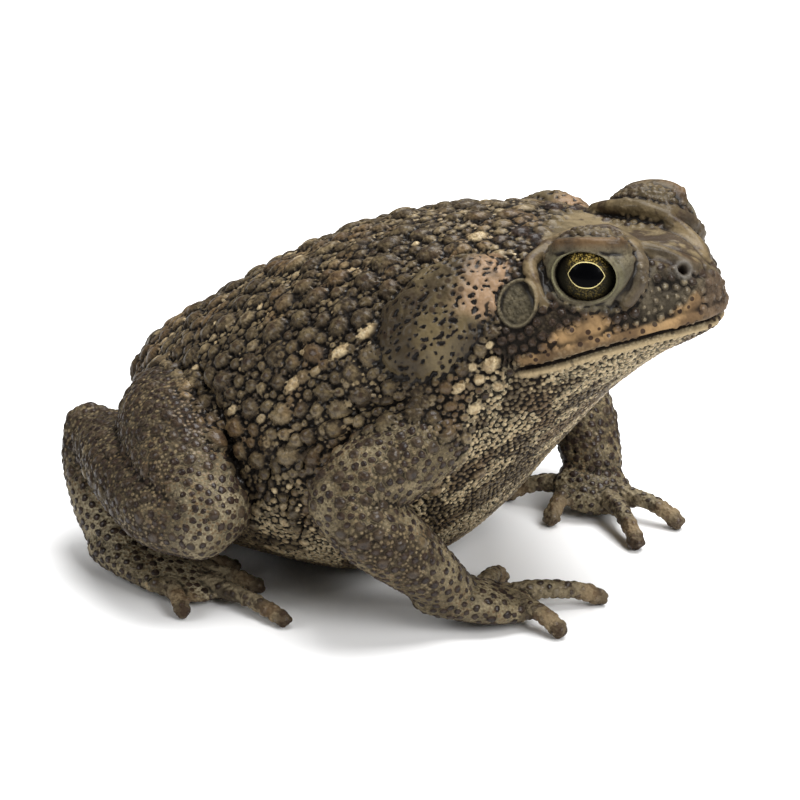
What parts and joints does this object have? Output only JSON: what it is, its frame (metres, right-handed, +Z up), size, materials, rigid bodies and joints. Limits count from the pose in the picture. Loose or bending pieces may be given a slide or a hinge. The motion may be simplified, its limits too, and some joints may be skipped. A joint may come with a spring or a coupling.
{
  "type": "cane toad",
  "caption": "Cane toad as a still, life-size museum model, sitting with its head up, with warty skin, parotoid glands, bony head crests and open eyes.",
  "frame": {"origin": "on the floor, in the middle of the flat under the belly, where the toad rests", "axes": "+X towards the snout, +Y towards the toad's left, +Z up"},
  "size_m": [0.1358, 0.1128, 0.0834],
  "materials": {
    "skin": "rough, dry, warty, olive-brown with cream granules",
    "skin_pale": "rough, dry, tan-grey with dark wart caps",
    "gland": "smooth and slightly waxy, pitted with pores",
    "drum": "smooth, dull, stretched",
    "eyeball": "wet and polished, gold-flecked iris with a level dark pupil",
    "digit": "dry, fine-grained, dark at the tips"
  },
  "bodies": {
    "root": {"torso": "skin", "head": "skin", "lower_jaw": "skin", "parotoid_right": "gland", "eye_right": "eyeball", "tympanum_right": "drum", "upper_arm_right": "skin_pale", "forearm_right": "skin_pale", "hand_right": "skin_pale", "thigh_right": "skin_pale", "shank_right": "skin_pale", "tarsus_right": "skin_pale", "foot_right": "skin_pale", "finger_1_right": "digit", "finger_2_right": "digit", "finger_3_right": "digit", "finger_4_right": "digit", "toe_1_right": "digit", "toe_2_right": "digit", "toe_3_right": "digit", "toe_4_right": "digit", "toe_5_right": "digit", "parotoid_left": "gland", "eye_left": "eyeball", "tympanum_left": "drum", "upper_arm_left": "skin_pale", "forearm_left": "skin_pale", "hand_left": "skin_pale", "thigh_left": "skin_pale", "shank_left": "skin_pale", "tarsus_left": "skin_pale", "foot_left": "skin_pale", "finger_1_left": "digit", "finger_2_left": "digit", "finger_3_left": "digit", "finger_4_left": "digit", "toe_1_left": "digit", "toe_2_left": "digit", "toe_3_left": "digit", "toe_4_left": "digit", "toe_5_left": "digit"}
  },
  "joints": []
}
